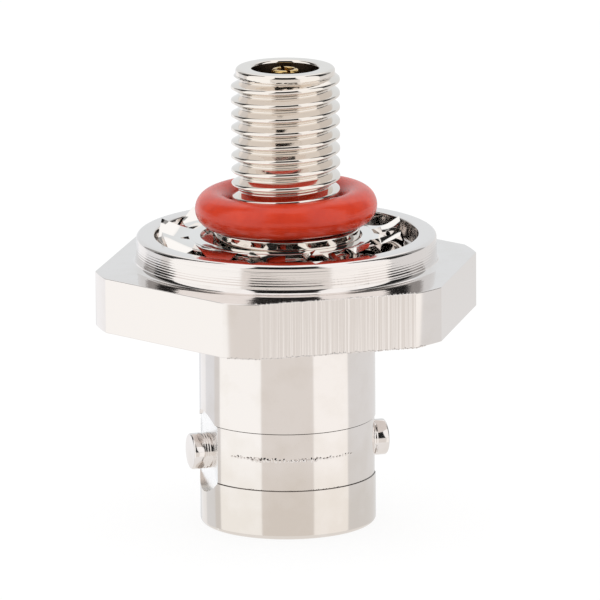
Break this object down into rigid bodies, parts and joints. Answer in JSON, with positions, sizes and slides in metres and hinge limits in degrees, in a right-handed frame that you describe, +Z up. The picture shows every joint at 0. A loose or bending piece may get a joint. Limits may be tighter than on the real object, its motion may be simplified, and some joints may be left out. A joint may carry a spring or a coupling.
{
  "type": "bnc antenna adapter",
  "caption": "Coaxial antenna adapter: bayonet socket barrel with lugs, hexagonal flange, star lock washer in a recess, O-ring and threaded stud.",
  "frame": {"origin": "centre of the barrel's mouth, which it stands on", "axes": "+Z up the barrel's axis, towards the threaded stud; the two bayonet lugs point along +X and -X"},
  "size_m": [0.021, 0.0192, 0.0252],
  "materials": {
    "satin_nickel": "satin nickel plate on turned brass",
    "bright_nickel": "bright nickel plate on turned brass",
    "washer_nickel": "bright nickel plate on stamped bronze",
    "red_silicone": "smooth satin silicone",
    "white_ptfe": "waxy white PTFE",
    "gold_plate": "gold plate"
  },
  "bodies": {
    "root": {"shell": "satin_nickel", "stud": "bright_nickel", "lock_washer": "washer_nickel", "o_ring": "red_silicone", "barrel_insulator": "white_ptfe", "stud_insulator": "white_ptfe", "centre_contact": "gold_plate"}
  },
  "joints": []
}
